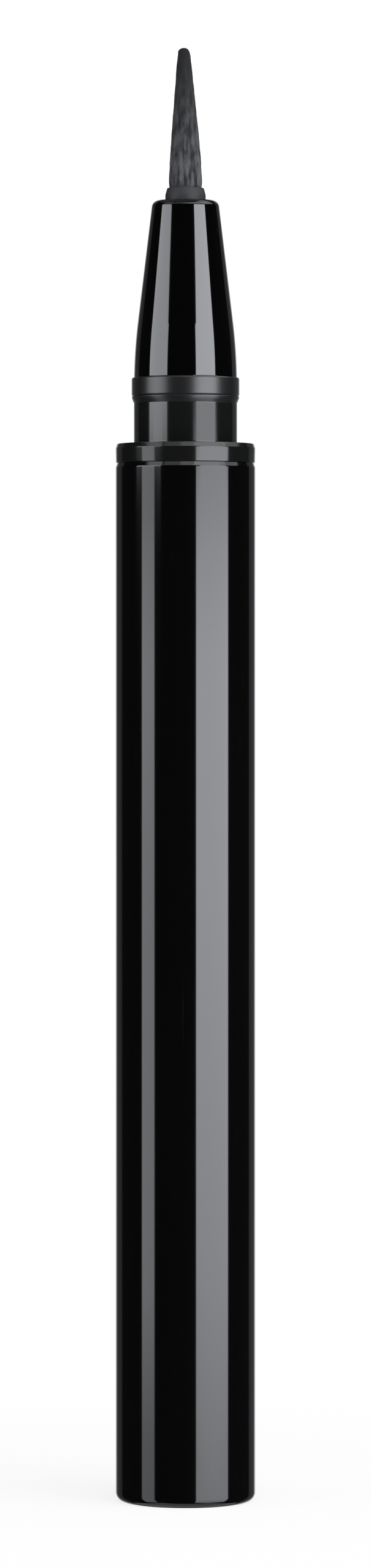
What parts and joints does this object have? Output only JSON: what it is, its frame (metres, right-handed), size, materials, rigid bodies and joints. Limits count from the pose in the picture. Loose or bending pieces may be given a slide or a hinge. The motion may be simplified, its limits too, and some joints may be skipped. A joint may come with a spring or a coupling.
{
  "type": "liquid eyeliner pen",
  "caption": "Slim felt-tip liquid eyeliner pen with its cap off: round barrel, stepped cap neck with a soft seal, tapered tip cone, and a tank, finned collector and wick that feed the nib.",
  "frame": {"origin": "centre of the flat tail face", "axes": "+Z along the pen's axis from the tail to the nib; X and Y are equivalent on the outside"},
  "size_m": [0.011, 0.011, 0.1146],
  "materials": {
    "barrel_gloss": "glossy black moulding",
    "neck_satin": "semi-gloss black moulding",
    "seal_elastomer": "soft satin black elastomer",
    "cone_gloss": "glossy black moulding",
    "sleeve_plastic": "satin dark grey moulding",
    "nib_felt": "pressed felt soaked in black liquid",
    "wick_fibre": "bonded fibre rod soaked in black liquid",
    "collector_plastic": "natural moulded plastic stained by the liquid",
    "tank_plastic": "natural milky moulded plastic",
    "plug_plastic": "natural moulded plastic",
    "ball_steel": "polished stainless steel"
  },
  "bodies": {
    "pen": {"barrel": "barrel_gloss", "neck_section": "neck_satin", "cap_seal": "seal_elastomer", "tip_cone": "cone_gloss", "nib_sleeve": "sleeve_plastic", "felt_nib": "nib_felt", "feed_wick": "wick_fibre", "comb_collector": "collector_plastic", "tank_gasket": "seal_elastomer", "ink_tank": "tank_plastic", "tank_plug": "plug_plastic"},
    "agitator": {"agitator_ball": "ball_steel"}
  },
  "joints": [
    {"name": "ball_travel", "type": "slide", "parent": "pen", "child": "agitator", "axis": [0, 0, 1], "range_m": [0, 0.0316]}
  ]
}
